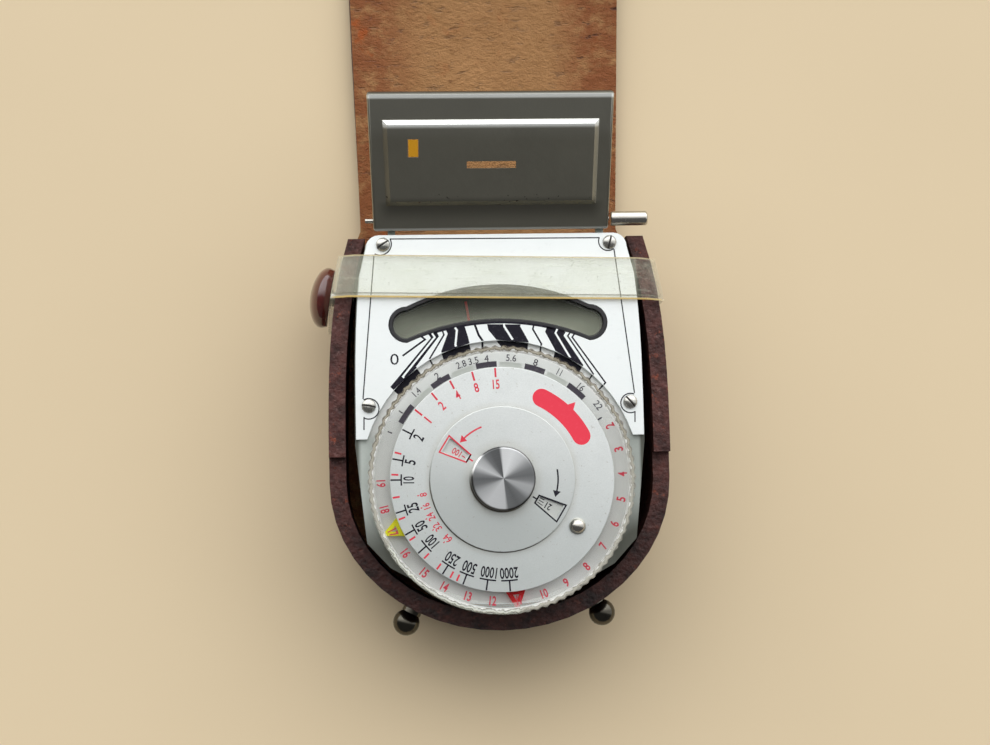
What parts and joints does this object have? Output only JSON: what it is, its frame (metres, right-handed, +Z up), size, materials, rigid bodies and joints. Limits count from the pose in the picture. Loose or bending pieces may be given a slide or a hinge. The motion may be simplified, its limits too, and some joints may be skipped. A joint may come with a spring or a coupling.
{
  "type": "selenium light meter in leather case",
  "caption": "Selenium light meter with a calculator dial, hinged cell lid and needle window, lying on its back in an open leather case with its flap folded back.",
  "frame": {"origin": "where the axis of the dial meets the flat back of the case, which the case rests on", "axes": "+X to the right seen from the dial side, +Y towards the cell and the flap, +Z up out of the dial"},
  "size_m": [0.0688, 0.1937, 0.0365],
  "materials": {
    "leather": "worn",
    "suede": "raw suede",
    "vinyl": "clear",
    "maroon": "gloss",
    "dark_chrome": "polished",
    "silver_cast": "satin",
    "silver_plate": "satin",
    "steel": "polished",
    "brass": "plain",
    "copper": "enamelled wire",
    "black": "matte",
    "acrylic": "clear",
    "card": "matte",
    "clear_dial": "clear",
    "index_red": "printed",
    "needle_red": "gloss",
    "lid_grey": "satin",
    "amber": "gloss",
    "selenium": "dark mirror",
    "lens": "clear",
    "board": "fibre",
    "magnet": "plain",
    "iron": "plain",
    "ruby": "polished",
    "red_wire": "insulated"
  },
  "bodies": {
    "case": {"case_back": "leather", "case_wall": "leather", "holding_band": "vinyl", "snap_cap": "maroon", "snap_stud": "steel", "band_rivet": "steel", "ball_stud_left": "dark_chrome", "ball_stud_right": "dark_chrome", "housing": "silver_cast", "rear_plate": "silver_cast", "rear_screw_left": "steel", "rear_screw_right": "steel", "rear_screw_bottom": "steel", "face_plate": "silver_plate", "plate_screw_upper_left": "steel", "plate_screw_upper_right": "steel", "plate_screw_lower_left": "steel", "plate_screw_lower_right": "steel", "window_bezel": "black", "window_glass": "acrylic", "needle_tray": "card", "cell_window": "lens", "cell_frame": "black", "selenium_cell": "selenium", "cell_backing": "board", "cell_contact_left": "brass", "cell_contact_right": "brass", "trim_resistor": "board", "lead_wire_left": "red_wire", "lead_wire_right": "black", "movement_base": "brass", "magnet": "magnet", "iron_core": "iron", "core_bar": "brass", "hairspring_upper": "brass", "hairspring_lower": "brass", "upper_bridge": "brass", "bridge_pillar_left": "brass", "bridge_pillar_right": "brass", "jewel_upper": "ruby", "jewel_lower": "ruby", "dial_post": "brass", "friction_washer": "brass"},
    "lid": {"lid": "lid_grey", "lid_mark": "amber", "hinge_pin": "steel", "hinge_knob": "steel"},
    "aperture_dial": {"clear_dial": "clear_dial"},
    "shutter_dial": {"shutter_disc": "silver_plate", "handle_pin": "steel"},
    "film_dial": {"index_disc": "silver_plate", "pointer_plate": "index_red", "dial_knob": "steel"},
    "movement": {"moving_coil": "copper", "pivot_upper": "steel", "pivot_lower": "steel", "needle": "needle_red"},
    "zero_screw": {"zero_screw": "brass"},
    "zero_lever": {"zero_lever": "brass"},
    "flap": {"case_flap": "suede"}
  },
  "joints": [
    {"name": "lid_hinge", "type": "hinge", "parent": "case", "child": "lid", "pos_m": [0, 0.0496, 0.0276], "axis": [1, 0, 0], "range_deg": [-100, 5]},
    {"name": "aperture_dial_turn", "type": "hinge", "parent": "case", "child": "aperture_dial", "pos_m": [0, 0, 0.0281], "axis": [0, 0, 1], "continuous": true},
    {"name": "shutter_dial_turn", "type": "hinge", "parent": "case", "child": "shutter_dial", "pos_m": [0, 0, 0.03], "axis": [0, 0, 1], "continuous": true},
    {"name": "film_dial_turn", "type": "hinge", "parent": "shutter_dial", "child": "film_dial", "pos_m": [0, 0, 0.0308], "axis": [0, 0, 1], "range_deg": [-48, 36]},
    {"name": "needle_swing", "type": "hinge", "parent": "case", "child": "movement", "pos_m": [0, 0, 0.0196], "axis": [0, 0, 1], "range_deg": [-40, 22], "stiffness_Nm_per_rad": 0.000005},
    {"name": "zero_screw_turn", "type": "hinge", "parent": "case", "child": "zero_screw", "pos_m": [0, -0.0154, 0.003], "axis": [0, 0, 1], "range_deg": [-30, 30]},
    {"name": "zero_lever_swing", "type": "hinge", "parent": "case", "child": "zero_lever", "pos_m": [0, 0, 0.0053], "axis": [0, 0, 1], "range_deg": [-2, 2]},
    {"name": "flap_fold", "type": "hinge", "parent": "case", "child": "flap", "pos_m": [0, 0.052, 0.002], "axis": [1, 0, 0], "range_deg": [0, 40]}
  ],
  "couplings": [
    {"joint": "zero_lever_swing", "follows": "zero_screw_turn", "ratio": -0.06207}
  ]
}
